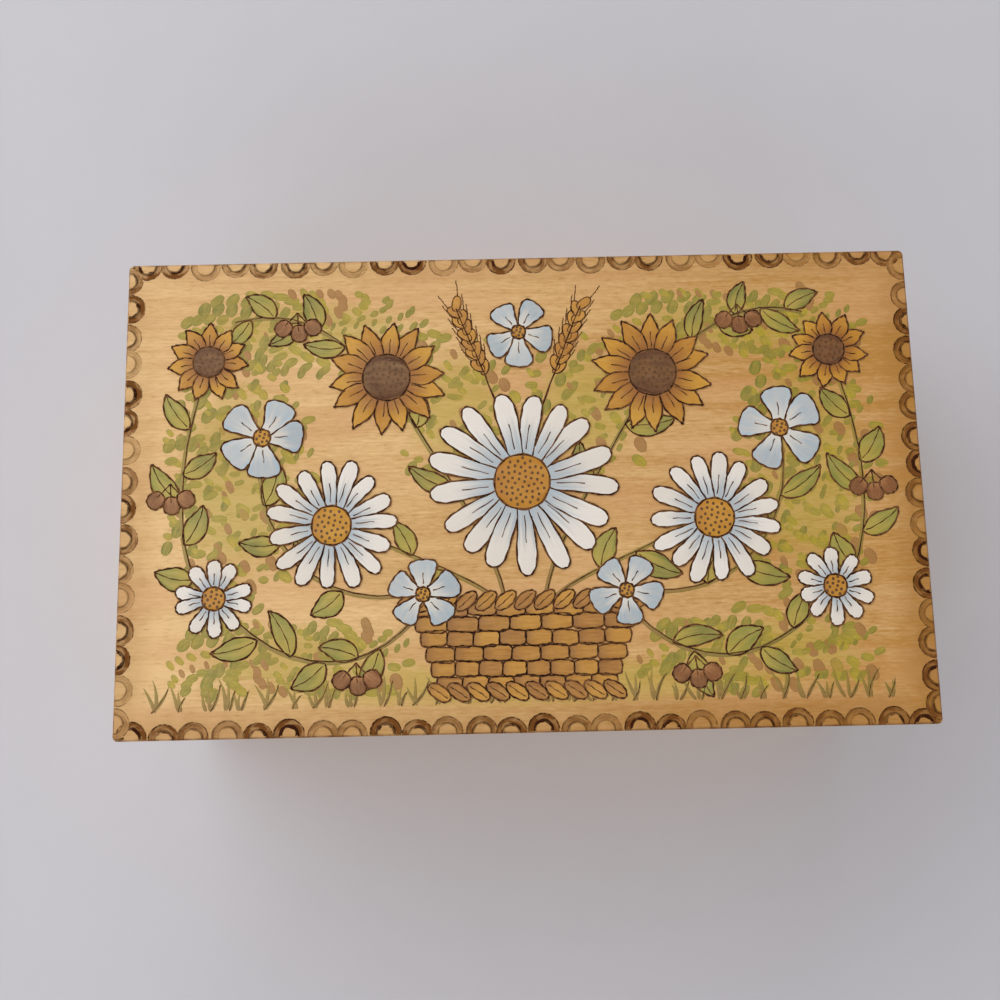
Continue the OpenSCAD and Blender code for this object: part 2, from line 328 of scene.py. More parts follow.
# Felt
# A sheet of wool felt cut to the floor and glued to the bottom board.
# It has no weave: short fibres lie all ways, so it is mottled and dull, with soft cut edges.
FELT = (67, 84, 50)
FELT_DARK = (45, 58, 36)
FELT_FLECKS = (900, 5.0, 0.7)
FELT_RELIEF = (0.7, 0.3 * MM)
FELT_GRID = (144, 80)
FELT_ROOM = 0.05 * MM
FELT_WAVE = 0.02 * MM
felt_low, felt_high = (np.array(corner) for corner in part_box("floor_lining"))
felt_w, felt_d, felt_t = felt_high - felt_low


def grid_faces(columns, rows):
    """Quads of a grid of columns by rows points, counted row by row."""
    index = np.arange(columns * rows).reshape(rows, columns)
    quads = np.stack([index[:-1, :-1], index[:-1, 1:], index[1:, 1:], index[1:, :-1]], axis=-1)
    return quads.reshape(-1, 4)


def put(name, data):
    """A new object in the scene."""
    made = bpy.data.objects.new(name, data)
    bpy.context.scene.collection.objects.link(made)
    return made


def new_piece(name, points, faces, material):
    """A piece from points in metres and faces as rows of point numbers, smoothly shaded."""
    mesh = bpy.data.meshes.new(name)
    mesh.from_pydata(points, [], faces)
    mesh.polygons.foreach_set("use_smooth", np.ones(len(mesh.polygons), dtype=bool))
    mesh.materials.append(material)
    return put(name, mesh)


def felt_top(columns, rows):
    """The felt's upper face: a flat rectangle with slow waves under a twentieth of a millimetre high."""
    x, y = np.meshgrid(np.linspace(felt_low[0], felt_high[0], columns),
                       np.linspace(felt_low[1], felt_high[1], rows))
    wave = np.sin(x * 310 + 2 * np.sin(y * 170)) + np.sin(y * 420 + 1.5 * np.sin(x * 230))
    z = felt_high[2] - FELT_ROOM + wave * FELT_WAVE
    return np.stack([x, y, z], axis=-1).reshape(-1, 3)


felt, start, shader = new_finish("wool_felt", {"Roughness": 0.95, "Sheen Weight": 0.4})
fleck = start.place().noise(*FELT_FLECKS)
fleck.step(0.3, 0.75).mix(FELT_DARK, FELT).into(shader, "Base Color")
fleck.bump(shader, *FELT_RELIEF)
felt_sheet = new_piece("felt_sheet", felt_top(*FELT_GRID), grid_faces(*FELT_GRID), felt)
modify(felt_sheet, "SOLIDIFY", thickness=felt_t - 2 * FELT_ROOM, offset=-1.0)
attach(felt_sheet, "case")
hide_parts("floor_lining")

# Hinges
# Two small brass butt hinges: leaves of rolled sheet let into the seam, with knuckles round a steel pin.
# Countersunk brass screws with a single slot hold the leaves.
BRASS = (206, 166, 92)
BRASS_TARNISH = (150, 110, 56)
SCREW_BRASS = (226, 190, 118)
SCREW_TARNISH = (172, 132, 70)
TARNISH_PATCHES = (260, 4.0, 0.6)
ROLLED = ((150, 9000, 9000), 2.0, 0.5)
TURNED = ((5000, 5000, 900), 2.0, 0.5)
STREAK_RELIEF = (0.2, 0.02 * MM)
LEAF_EASE = 0.06 * MM


def dull_brass(name, bright, tarnished, streaks):
    """Bare brass with streaks of the rolling or turning and uneven tarnish."""
    made, start, shader = new_finish(name, METAL)
    place = start.place()
    tarnish = place.noise(*TARNISH_PATCHES).step(0.3, 0.8)
    streak = place.noise(*streaks)
    (tarnish * 0.8).mix(bright, tarnished).into(shader, "Base Color")
    (0.24 + tarnish * 0.16 + streak * 0.1).into(shader, "Roughness")
    streak.bump(shader, *STREAK_RELIEF)
    return made


leaf_brass = dull_brass("rolled_brass", BRASS, BRASS_TARNISH, ROLLED)
screw_brass = dull_brass("turned_brass", SCREW_BRASS, SCREW_TARNISH, TURNED)
for side in ("left", "right"):
    dress(side + "_hinge_case_leaf", leaf_brass, LEAF_EASE)
    dress(side + "_hinge_lid_leaf", leaf_brass, LEAF_EASE)
    dress(side + "_hinge_pin", steel)
dress("case_hinge_screws", screw_brass)
dress("lid_hinge_screws", screw_brass)

# Lid rails
# The strip of each wall that stays on the lid where the glued box was sawn apart.
# Each is the same board as the wall under it, so the grain runs on across the seam.
for side, wood in board_woods.items():
    dress("lid_" + side + "_rail", wood, WALL_EASE)

# Lid board
# One flat-sawn board of the same lime wood, glued on the rails and varnished.
# Its upper edges are eased, scorched by the stamps and tanned by their heat. Painted shade darkens the eased
# edge, the whole board towards the right, and the tanned band towards the right and the front.
LID_CUT = (ALONG_X, (40, 16, -10))
# How fast the lid's wood darkens towards the right, per millimetre: painted shade
LID_SHADE_DRIFT = 0.0052
LID_DEPTH = 0.36
TAN_AND_SHADE = (164, 112, 48)
SCORCH_AND_SHADE = (104, 66, 38)
HEAT_PATCHES = (300, 3.0, 0.5)
TAN_SHADE_REACH = (2 * MM, 9 * MM)
SCORCH_SHADE_REACH = (0.1 * MM, 0.6 * MM)
DOWN_REACH = (0.4 * MM, 1.0 * MM)
lid_high = np.array(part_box("lid_board")[1])
lid_top = lid_high[2]


def lid_face(start):
    """Colour and height of the lid's wood, tanned near its upper edges by the stamps' heat and darkened there
    by painted shade, most at the right front corner, and darkened on the eased edge itself by scorch and
    painted shade.
    Both go by the distance to the nearest edge."""
    colour, height = lime_wood(start, *LID_CUT, LID_SHADE_DRIFT, LID_DEPTH)
    place = start.place()
    x, y, z = place.axes()
    from_edge = start.math("MINIMUM", lid_high[0] - abs(x), lid_high[1] - abs(y))
    upper = 1 - (lid_top - z).step(*DOWN_REACH)
    patchy = place.noise(*HEAT_PATCHES).step(0.3, 0.7)
    # A band near the edges, tanned by the stamps' heat, and made darker towards the right and the front by
    # painted shade
    tan_and_shade = upper * (1 - from_edge.step(*TAN_SHADE_REACH)) * (0.31 + patchy * 0.16 + x * 1.6 - y * 2.8)
    # A dark rim on the eased edge: scorch from the stamps, and painted shade
    scorch_and_shade = upper * (1 - from_edge.step(*SCORCH_SHADE_REACH)) * (0.25 + patchy * 0.5)
    return scorch_and_shade.mix(tan_and_shade.mix(colour, TAN_AND_SHADE), SCORCH_AND_SHADE), height


lid_wood, start, shader = new_finish("lid_board_wood", VARNISHED)
colour, height = lid_face(start)
varnish(shader, colour, SATIN - height * SATIN_GRAIN, height)
dress("lid_board", lid_wood)

# Stamped border
# Half rings struck along all four edges with the hot end of a tube, about half over the edge.
# Each leaves a scorched trough with raised lips. The iron cools, so two dark rings precede two light ones.
STAMP_D = 6.0
STAMP_BAND = 1.3
STAMP_R = (STAMP_D - STAMP_BAND) / 2
STAMP_PITCH = 5.9
STAMP_INSET = 0.35
STAMP_END = 3.6
STAMP_STRAY = 0.3
STAMP_REACH = 0.35
STAMP_STEPS = 33
GOLDEN_TURN = np.radians(137.5)
HOT = 0.8
COOL = 0.24
HEAT_STRAY = 0.2
# Extra heat that darkens the stamps along the front and right edges: painted shade
EDGE_SHADE_HEAT = 0.16
CORNER_R = 1.0
BOARD_EASE = 0.4
EDGE_ROOM = 0.01
CHAR = (52, 22, 6)
CHARRED = {"Roughness": 0.7, "Specular IOR Level": 0.06}
TOAST = (118, 72, 31)
ASH_PATCHES = (900, 3.0, 0.65)
SOOT_SPOTS = (2600, 2.0, 0.6)
PRESSES = (1, 2.0, 0.5)
DASHES = ((4.5, 0.5, 1), 3.0, 0.6)
TIP_SINK = 0.03
COVER_SINK = 0.05
RIM_ANGLE = np.radians(80)
TINY = 1e-9
# The section of a trough: shares of the half width and heights in millimetres, over the top and back below
TROUGH = np.array([(1.8, -0.006), (1.66, 0.01), (1.12, 0.022), (0.96, 0.0), (0.84, -0.11), (0.45, -0.15),
                   (0.0, -0.16), (-0.45, -0.15), (-0.84, -0.11), (-0.96, 0.0), (-1.12, 0.022),
                   (-1.28, -0.01), (-1.1, -0.45), (1.1, -0.45)])
# The trough without its lips, from the outside in
FLOOR = TROUGH[np.abs(TROUGH[:, 0]) < 1][::-1]
lid_half = lid_high[:2] / MM
lid_top_mm = lid_top / MM


def bearing(angle):
    """Unit vectors at an angle."""
    return np.stack([np.cos(angle), np.sin(angle)], axis=-1)


def sideways(paths):
    """The unit vector to the left of each path, at each of its points."""
    ahead = np.gradient(paths, axis=1)
    ahead /= np.linalg.norm(ahead, axis=-1, keepdims=True) + TINY
    return np.stack([-ahead[..., 1], ahead[..., 0]], axis=-1)


def trim_to_lid(points):
    """Keeps points inside the lid's outline, a rectangle with round corners, and under its eased edge.
    The distance to that outline is that of a box drawn in by the corners' radius, less the radius."""
    beyond = np.abs(points[..., :2]) - (lid_half - CORNER_R)
    reach = np.linalg.norm(np.maximum(beyond, 0), axis=-1)
    inside = CORNER_R - reach - np.minimum(beyond.max(axis=-1), 0)
    out = np.maximum(beyond, 0) / np.maximum(reach, TINY)[..., None] * np.sign(points[..., :2])
    points[..., :2] += out * np.minimum(inside - EDGE_ROOM, 0)[..., None]
    eased = np.minimum(points[..., 2], lid_top_mm - BOARD_EASE + inside)
    points[..., 2] = np.where(inside < BOARD_EASE, eased, points[..., 2])
    return points


def stroke_points(paths, half, lift, section):
    """Points of strokes on the lid: a closed section carried along each path, then its two end middles.
    A point lies beside its path by the path's half width times the section's share, at the section's height,
    and sinks a little where the stroke is under half its full width."""
    beside = sideways(paths)[:, :, None, :] * (half[:, :, None, None] * section[:, 0, None])
    narrow = 1 - np.minimum(2 * half / half.max(axis=1, keepdims=True), 1)
    height = lid_top_mm + (lift[:, None] - TIP_SINK * narrow)[..., None] + section[:, 1]
    body = np.concatenate([paths[:, :, None, :] + beside, height[..., None]], axis=-1)
    ends = body[:, [0, -1]].mean(axis=2)
    return np.concatenate([body.reshape(len(paths), -1, 3), ends], axis=1)


def lay_strokes(name, points, section, tone, material):
    """A piece of strokes that keep to the lid: faces between each section and the next, and fans at the ends.
    The place along and across a stroke and its tone are kept as attributes for the finish."""
    count, size = points.shape[:2]
    ring = len(section)
    steps = size // ring
    side = np.arange(ring)
    following = (side + 1) % ring
    row = np.arange(steps - 1)[:, None] * ring
    quads = np.stack([row + side, row + following, row + ring + following, row + ring + side], axis=-1)
    last = (steps - 1) * ring
    tips = np.repeat((steps * ring, steps * ring + 1), ring)
    fans = np.stack([np.r_[following, last + side], np.r_[side, last + following], tips], axis=-1)
    start_of = (np.arange(count) * size)[:, None, None]
    faces = (quads.reshape(-1, 4) + start_of).reshape(-1, 4).tolist()
    faces += (fans + start_of).reshape(-1, 3).tolist()
    piece = new_piece(name, trim_to_lid(points).reshape(-1, 3) * MM, faces, material)
    piece.data.set_sharp_from_angle(angle=RIM_ANGLE)
    along = np.concatenate([np.repeat(np.linspace(0, 1, steps), ring), (0.0, 1.0)])
    across = np.concatenate([np.tile(section[:, 0], steps), (0.0, 0.0)])
    marks = {"along": np.tile(along, count), "across": np.tile(across, count), "tone": np.repeat(tone, size)}
    for mark, values in marks.items():
        kept = piece.data.attributes.new(mark, "FLOAT", "POINT")
        kept.data.foreach_set("value", values.astype(np.float32))
    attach(piece, "lid")


def stamp_row(start, turn, half_length, far, shade_heat=0.0):
    """Middles, turns and heats of the stamps along one edge, evenly spaced but for a small stray.
    Extra heat darkens a whole edge's stamps as painted shade.
    """
    span = 2 * (half_length - STAMP_END)
    steps = int(span // STAMP_PITCH)
    k = np.arange(steps + 1)
    phase = GOLDEN_TURN * (start + k)
    x = span * (k / steps - 0.5) + STAMP_STRAY * np.sin(phase)
    y = -far + STAMP_INSET + STAMP_REACH * np.cos(phase)
    heat = np.where((k + start) % 4 < 2, HOT, COOL) + HEAT_STRAY * np.sin(1.7 * phase)
    turned = np.outer(x, bearing(turn)) + np.outer(y, bearing(turn + np.pi / 2))
    return turned, np.full(len(k), turn), heat + shade_heat


def stamp_arcs(middles, turns):
    """Arcs along the middle of the band, from where it leaves the edge round to where it meets it again."""
    over = np.arcsin(STAMP_INSET / STAMP_R)
    angle = turns[:, None] + np.linspace(-over, np.pi + over, STAMP_STEPS)
    return middles[:, None, :] + STAMP_R * bearing(angle)


def struck_over(points, middles):
    """Stamps that cross: each point goes down to the lowest trough there, and a little lower where a later
    stamp covers it or it is a lip in another's trough. A trough's depth goes by the distance to its ring."""
    from_ring = STAMP_R - np.linalg.norm(points[:, :, None, :2] - middles, axis=-1)
    share = from_ring / (STAMP_BAND / 2)
    depth = np.interp(share, FLOOR[:, 0], FLOOR[:, 1])
    number = np.arange(len(middles))
    lip = np.abs(share[number, :, number]) > FLOOR[-1, 0]
    covered = lip[:, :, None] | (number > number[:, None])[:, None]
    in_other = (np.abs(share) < FLOOR[-1, 0]) & (number != number[:, None])[:, None]
    lowest = np.where(in_other, depth - COVER_SINK * covered, COVER_SINK).min(axis=-1)
    points[..., 2] = np.minimum(points[..., 2], lid_top_mm + lowest)
    return points


def scorched_wood(name):
    """The lid's wood under a stamp: toasted on the trough's floor and charred along both of its edges.
    The inner line widens with the heat, the outer one is thin and broken, and both wander a little."""
    made, start, shader = new_finish(name, CHARRED)
    wood = lid_face(start)[0]
    place = start.place()
    across, along, heat = start.marks("across", "along", "tone")
    patch = place.noise(*ASH_PATCHES)
    soot = place.noise(*SOOT_SPOTS)
    struck = start.node("CombineXYZ", {}, {0: along * 3, 1: across * 0.7, 2: heat * 60})
    press = 0.5 + struck.noise(*PRESSES).step(0.36, 0.62) * 0.7
    dash = 0.4 + struck.noise(*DASHES).step(0.4, 0.58) * 0.7
    wander = across + (patch - 0.5) * 0.5
    inner = wander.step(0.5, 0.7) * (1 - (wander - heat * press * 0.55).step(0.9, 1.15))
    outer = (1 - wander.step(-0.88, -0.7)) * wander.step(-1.26, -1.06)
    floor = across.step(-1.0, -0.85) * (1 - across.step(0.85, 1.0))
    mottled = 0.45 + patch * 0.45 + soot * 0.5
    toasted = (floor * (heat * 0.8 + 0.3) * press * mottled).mix(wood, TOAST)
    lines = inner * (heat * 0.76 + 0.28) * (0.4 + press * 0.6) + outer * (heat * 0.5 + 0.52) * dash
    (lines * (0.6 + soot * 0.7)).clamped().mix(toasted, CHAR).into(shader, "Base Color")
    patch.bump(shader, *BARE_RELIEF)
    return made


# The front and right rows get the extra heat: painted shade on those edges
rows = [stamp_row(0, 0.0, *lid_half, EDGE_SHADE_HEAT), stamp_row(100, np.pi, *lid_half),
        stamp_row(200, np.pi / 2, *lid_half[::-1], EDGE_SHADE_HEAT), stamp_row(300, -np.pi / 2, *lid_half[::-1])]
middles, turns, heats = (np.concatenate(column) for column in zip(*rows))
arcs = stamp_arcs(middles, turns)
lining = stroke_points(arcs, np.full(arcs.shape[:2], STAMP_BAND / 2), np.zeros(len(arcs)), TROUGH)
lay_strokes("stamped_border", struck_over(lining, middles), TROUGH, heats, scorched_wood("scorched_stamp"))

# Green wash and dabs
# Thin water paint, laid on first: soft patches of green, a strip of ground, and dabs of the brush.
# It only stains the wood, so the grain shows through. Folk painters mirror such pictures by eye.
STEPS = 20
OVAL_STEPS = 7
TIP_HALF = 0.03
STAIN = np.array([(1.0, -0.004), (0.7, 0.007), (0.0, 0.008), (-0.7, 0.007), (-1.0, -0.004), (0.0, -0.03)])
# Heights of the layers in millimetres, in the order of painting
ON_WOOD = 0.0
ON_WASH = 0.03
ON_LEAVES = 0.06
ON_RIM = 0.09
ON_BASKET = 0.12
ON_FLOWERS = 0.15
JUST_OVER = 0.004
STROKE_RISE = 0.002
DAB_RISE = 0.016
# The part of the lid that the brush keeps to, inside the stamps
FIELD = np.array((73.0, 41.0))
# Clumps of foliage by their middles, reach to the side and up, and number of dabs
CLUMPS = ((57, 3, 15, 26, 230), (44, 33, 26, 8, 150), (46, -33, 24, 8, 136), (13, 16, 13, 15, 80))
GROUND_MIDDLE = np.array([(0.0, -38.4)])
GROUND_SIZE = (150.0, 10.8)
DAB_LENGTH = 2.7
DAB_WIDTH = 0.6
# Paints by the two colours of their streaks and the colour at a stroke's root
WASH_GREEN = ((188, 168, 58), (164, 156, 60), (178, 160, 58))
FOLIAGE_GREEN = ((192, 172, 40), (84, 106, 34), (124, 128, 40))
FOLIAGE_ODD = (152, 108, 58)
PAINT_CLOUDS = (330, 4.0, 0.65)
HAIRS = (1, 3.0, 0.5)


def unplanned(count, key):
    """Numbers from -1 to 1 in no visible order: sines at steps of an angle that never repeats."""
    return np.sin(GOLDEN_TURN * (np.arange(count) + 1) * (key + 1.5) + key)


def ovals(middles, heading, length, width, steps=OVAL_STEPS, square=2):
    """Ovals by their middles: the long axis as a path and half the chord across it at each step.
    Along and across, as shares of the half axes, their powers add up to 1: an ellipse at 2, else squarer."""
    share = -np.cos(np.linspace(0, np.pi, steps))
    along = share * np.broadcast_to(length, len(middles))[:, None] / 2
    chord = np.maximum(1 - np.abs(share) ** square, 0) ** (1 / square)
    half = chord * np.broadcast_to(width, len(middles))[:, None] / 2 + TIP_HALF
    ahead = bearing(np.broadcast_to(heading, len(middles)))
    return middles[:, None] + along[..., None] * ahead[:, None], half


def brushed(strokes, lift, key, rise=STROKE_RISE):
    """Strokes with uneven widths and an unplanned tone each, and each a little above the one before."""
    paths, half = strokes
    count, steps = half.shape
    uneven = 1 + 0.05 * np.sin(np.linspace(0, 9, steps) + 6 * unplanned(count, key)[:, None])
    tone = 0.5 + 0.5 * unplanned(count, key + 3)
    return paths, half * uneven, lift + rise * np.arange(count) / count, tone


def paint(name, groups, section, material):
    """One piece from groups of brushed strokes that have the same number of steps."""
    paths, half, lift, tone = (np.concatenate(column) for column in zip(*groups))
    lay_strokes(name, stroke_points(paths, half, lift, section), section, tone, material)


def paint_finish(name, colours, cover, soft=0.0, odd=None):
    """Paint over the lid's own wood, streaked in the brush's direction, with another colour towards its root.
    It covers unevenly and gathers at its edges, and one in six strokes may be of an odd colour. A soft patch
    thins out by the square of the distance from an oval's middle, and keeps the surface of the wood."""
    first, second, root = colours
    made, start, shader = new_finish(name, VARNISHED)
    wood, fibres = lid_face(start)
    across, along, tone = start.marks("across", "along", "tone")
    stroke = start.node("CombineXYZ", {}, {0: across * 4, 1: along * 1.6, 2: tone * 40})
    hairs = stroke.noise(*HAIRS)
    cloud = start.place().noise(*PAINT_CLOUDS)
    share = tone * 0.55 + hairs.step(0.3, 0.7) * 0.3 + cloud.step(0.35, 0.65) * 0.15
    outward = along + (hairs - 0.5) * 0.5
    pigment = outward.step(0.02, 0.5).mix(root, share.mix(first, second))
    if odd:
        pigment = tone.step(0.06, 0.08).mix(odd, pigment)
    side = abs(across)
    gathered = side.step(0.6, 0.9) * (1 - side.step(0.93, 1.0))
    body = cover * (0.66 + hairs * 0.34 + cloud * 0.2 + gathered * 0.14)
    body = body - fibres.step(0.35, 0.8) * ((1 - cover) * 0.7)
    roughness = 0.56 - fibres * 0.06
    relief = hairs + cloud
    if soft:
        half_turn = along * np.pi
        swell = half_turn.math("SINE", half_turn)
        from_middle = 1 - swell ** 2 * (1 - across ** 2)
        body = body * (1 - (from_middle + (cloud - 0.5) * soft).step(0.1, 0.8))
        roughness = SATIN - fibres * SATIN_GRAIN
        relief = fibres
    varnish(shader, body.clamped().mix(wood, pigment), roughness, relief)
    return made


def spread(count, reach):
    """Places that fill an ellipse evenly: each a golden angle on from the last, and out by equal areas."""
    k = np.arange(count)
    return np.sqrt((k + 0.5) / count)[:, None] * bearing(GOLDEN_TURN * k) * reach


def clump(middle, reach, count, key):
    """Loose dabs of the brush that fill an ellipse, each a little off its place."""
    stray = 1.5 * np.stack([unplanned(count, key), unplanned(count, key + 1)], axis=-1)
    length = DAB_LENGTH + 0.8 * unplanned(count, key + 2)
    width = length * (DAB_WIDTH + 0.1 * unplanned(count, key + 4))
    places = np.clip(middle + spread(count, reach) + stray, -FIELD, FIELD)
    return ovals(places, 1.2 * unplanned(count, key + 3), length, width)


washes = [brushed(ovals(GROUND_MIDDLE, 0.0, *GROUND_SIZE, STEPS), ON_WOOD, 1)]
dabs = []
for side in (-1, 1):
    for x, y, wide, high, count in CLUMPS:
        key = x + side
        middle = np.array((side * x, y))
        washes.append(brushed(ovals(middle[None], 0.0, 2 * wide, 2 * high, STEPS), ON_WOOD, key))
        dabs.append(brushed(clump(middle, (wide, high), count, key), ON_WOOD + JUST_OVER, key, DAB_RISE))
paint("green_wash", washes, STAIN, paint_finish("green_wash", WASH_GREEN, 0.6, soft=0.9))
paint("foliage_dabs", dabs, STAIN, paint_finish("foliage_green", FOLIAGE_GREEN, 0.82, odd=FOLIAGE_ODD))

# Stems, leaves and grass
# Stems drawn with the tip of the brush, and each leaf and blade of grass set down in one press of it.
# Leaves are rimmed and veined with the burning iron afterwards, and some of the grass gets a burnt line.
REACH = np.sin(np.linspace(0, np.pi / 2, STEPS))
LEAF = np.sin(np.pi * REACH ** 0.85) ** 0.9 + 0.02
GRASS = np.sin(np.pi * REACH ** 0.5) ** 0.7 + 0.05
STEM_HALF = 0.45
LEAF_HALF = 0.24
# Stems by their ends and the two points that draw them, and their leaves' places and length
STEMS = ((((6, -22), (10, -18), (22, -14), (38, -6)), (0.4, 0.62), 9),
         (((4, -22), (6, -10), (18, 6), (27, 23)), (0.55, 0.8), 9),
         (((19, -20), (38, -26), (55, -12), (52, 10)), (0.3, 0.48, 0.64, 0.8), 9),
         (((21, -25), (32, -38), (48, -37), (61, -21)), (0.2, 0.34, 0.48, 0.62, 0.78), 9),
         (((60, -24), (70, -16), (70, 6), (63, 26)), (0.2, 0.35, 0.5, 0.65, 0.8), 9),
         (((24, 16), (36, 35), (48, 38), (58, 35)), (0.3, 0.45, 0.6, 0.75, 0.9), 8))
TUFTS = 17
TUFT_SPAN = (4, 71)
TUFT_FOOT = -42.4
TUFT_LEANS = np.array((-0.42, 0.02, 0.36))
GRASS_LENGTH = 4.9
GRASS_HALF = 0.34
STEM_OLIVE = ((138, 124, 44), (98, 100, 38), (112, 94, 40))
LEAF_GREEN = ((152, 156, 68), (98, 116, 52), (170, 158, 66))
# The section of a film of body paint
FILM = np.array([(1.0, -0.02), (0.85, 0.008), (0.3, 0.015), (-0.3, 0.015), (-0.85, 0.008), (-1.0, -0.02),
                 (0.0, -0.05)])
# Heights of the burnt lines over the paint, their half widths, and what later strokes leave of them
LINE_LIFT = 0.014
LINE_OVER = 0.02
RIM_HALF = 0.21
FINE_HALF = 0.2
STALK_HALF = 0.16
VEIN_HALF = 0.14
HATCH_HALF = 0.13
GRASS_LINE = 0.11
STALK_OFF = 0.2
COVER_DEPTH = 0.08
HIDDEN_HALF = 0.02
STRAIGHT = 1e-3
outlines, hatching = [], []


def blade(root, heading, length, bend):
    """Lines from each root that start off the heading by half the bend and turn by it over their length."""
    bend = np.where(np.abs(bend) < STRAIGHT, STRAIGHT, bend)[:, None]
    first = heading[:, None] - bend / 2
    now = first + bend * REACH
    ahead = np.stack([np.sin(now) - np.sin(first), np.cos(first) - np.cos(now)], axis=-1)
    return root[:, None, :] + (length[:, None] / bend)[..., None] * ahead


def bezier(ends, steps=STEPS):
    """A cubic curve from its first point to its last, drawn towards the two between."""
    a, b, c, d = np.array(ends)
    t = np.linspace(0, 1, steps)[:, None]
    return (1 - t) ** 3 * a + 3 * t * (1 - t) ** 2 * b + 3 * t ** 2 * (1 - t) * c + t ** 3 * d


def rims(strokes):
    """The line round each stroke: out along its left side, over the tip and back along its right."""
    paths, half = strokes
    beside = sideways(paths) * half[..., None]
    return np.concatenate([paths + beside, (paths - beside)[:, ::-1]], axis=1)


def showing(lines, strokes, half):
    """The half width of each stroke's own lines, next to nothing where a later stroke covers them.
    A point is covered where it is nearer to a stroke's path than the stroke's half width there."""
    paths, reach = strokes
    depth = reach - np.linalg.norm(lines[:, :, None, None] - paths, axis=-1)
    later = np.arange(len(paths)) > np.arange(len(lines))[:, None]
    covered = ((depth > COVER_DEPTH).any(axis=-1) & later[:, None]).any(axis=-1)
    return lines, np.where(covered, HIDDEN_HALF, half)


def leaves_on(stem, places, length, key):
    """Leaves set by turns left and right along a stem, at about 45 degrees to it."""
    ahead = np.gradient(stem, axis=0)
    at = np.round(np.array(places) * (len(stem) - 1)).astype(int)
    side = np.where(np.arange(len(at)) % 2, -1.0, 1.0)
    heading = np.arctan2(ahead[at, 1], ahead[at, 0]) + side * (0.75 + 0.2 * unplanned(len(at), key))
    paths = blade(stem[at], heading, length * (1 + 0.15 * unplanned(len(at), key + 1)), -0.6 * side)
    return paths, (LEAF_HALF * length + 0.2 * unplanned(len(at), key + 2))[:, None] * LEAF


def tufts(side):
    """Grass along the ground of one half of the lid, in tufts of three blades that lean apart."""
    spot = np.linspace(*TUFT_SPAN, TUFTS) + 1.2 * unplanned(TUFTS, 8 + side)
    foot = TUFT_FOOT + 0.5 * unplanned(TUFTS, 9)
    roots = np.stack([side * spot, foot], axis=-1).repeat(len(TUFT_LEANS), axis=0)
    count = len(roots)
    roots[:, 0] += 0.5 * unplanned(count, 3)
    lean = np.pi / 2 + np.tile(TUFT_LEANS, TUFTS) + 0.16 * unplanned(count, 4 + side)
    length = GRASS_LENGTH + 1.6 * unplanned(count, 5 - side)
    return blade(roots, lean, length, 0.7 * unplanned(count, 6)), np.tile(GRASS_HALF * GRASS, (count, 1))


stems, leaves = [], []
for side in (-1, 1):
    for number, (ends, places, length) in enumerate(STEMS):
        key = number + 10 * side
        stem = bezier(np.array(ends) * (side, 1))
        green = leaves_on(stem, places, length, key)
        stems.append(brushed((stem[None], np.full((1, STEPS), STEM_HALF)), ON_WASH, key))
        leaves.append(brushed(green, ON_WASH + JUST_OVER, key))
        hatching.append((stem[None] + STALK_OFF, STALK_HALF, ON_WASH + LINE_LIFT))
        outlines.append((*showing(rims(green), green, RIM_HALF), ON_WASH + LINE_OVER))
        hatching.append((green[0][:, 1:-3], VEIN_HALF, ON_WASH + LINE_OVER))
    grass = tufts(side)
    stems.append(brushed(grass, ON_WASH, side + 7))
    hatching.append((grass[0][::3, :14], GRASS_LINE, ON_WASH + LINE_LIFT))
paint("stems_and_grass", stems, FILM, paint_finish("stem_olive", STEM_OLIVE, 0.8))
paint("leaves", leaves, FILM, paint_finish("leaf_green", LEAF_GREEN, 0.84))

# Basket
# A basket painted in ochre and brown and outlined with the iron.
# Short canes are laid like bricks, with a row of slanted canes round the rim and the foot.
BASKET_TOP = -22.5
BASKET_FOOT = -40.0
BASKET_TOP_HALF = 23.0
BASKET_FOOT_HALF = 17.0
CANE_ROWS = 6
CANES = 7
CANE_OVERLAP = 1.02
CANE_SQUARE = 4
BOUND_SIZE = (5.0, 2.6)
# Rows of slanted canes by their height, reach to the side, number and slope
BOUND_ROWS = ((BASKET_TOP, BASKET_TOP_HALF, 13, 0.7), (BASKET_FOOT, BASKET_FOOT_HALF, 10, -0.6))
CANE_OCHRE = ((204, 148, 54), (140, 88, 46), (126, 78, 42))
canes = []
row_h = (BASKET_TOP - BASKET_FOOT) / CANE_ROWS
for row in range(CANE_ROWS):
    share = (row + 0.5) / CANE_ROWS
    half = BASKET_FOOT_HALF + (BASKET_TOP_HALF - BASKET_FOOT_HALF) * share
    count = CANES + row % 2
    pitch = 2 * half / count
    x = np.linspace(-half + pitch / 2, half - pitch / 2, count)
    y = BASKET_FOOT + row_h * (row + 0.5) + 0.15 * unplanned(count, row)
    slope = 0.05 * unplanned(count, row + 2)
    size = CANE_OVERLAP * np.array((pitch, row_h))
    woven = ovals(np.stack([x, y], axis=-1), slope, *size, STEPS, CANE_SQUARE)
    canes.append(brushed(woven, ON_LEAVES, row + 4))
    outlines.append((rims(woven), FINE_HALF, ON_LEAVES + LINE_LIFT + JUST_OVER))
for y, half, count, slope in BOUND_ROWS:
    x = np.linspace(-half, half, count)
    bound = ovals(np.stack([x, np.full(count, y)], axis=-1), slope, *BOUND_SIZE, STEPS)
    canes.append(brushed(bound, ON_RIM, count))
    outlines.append((*showing(rims(bound), bound, FINE_HALF), ON_RIM + LINE_LIFT))
    hatching.append((*showing(bound[0][:, 4:-4], bound, HATCH_HALF), ON_RIM + LINE_LIFT))
paint("basket_canes", canes, FILM, paint_finish("cane_ochre", CANE_OCHRE, 0.88))

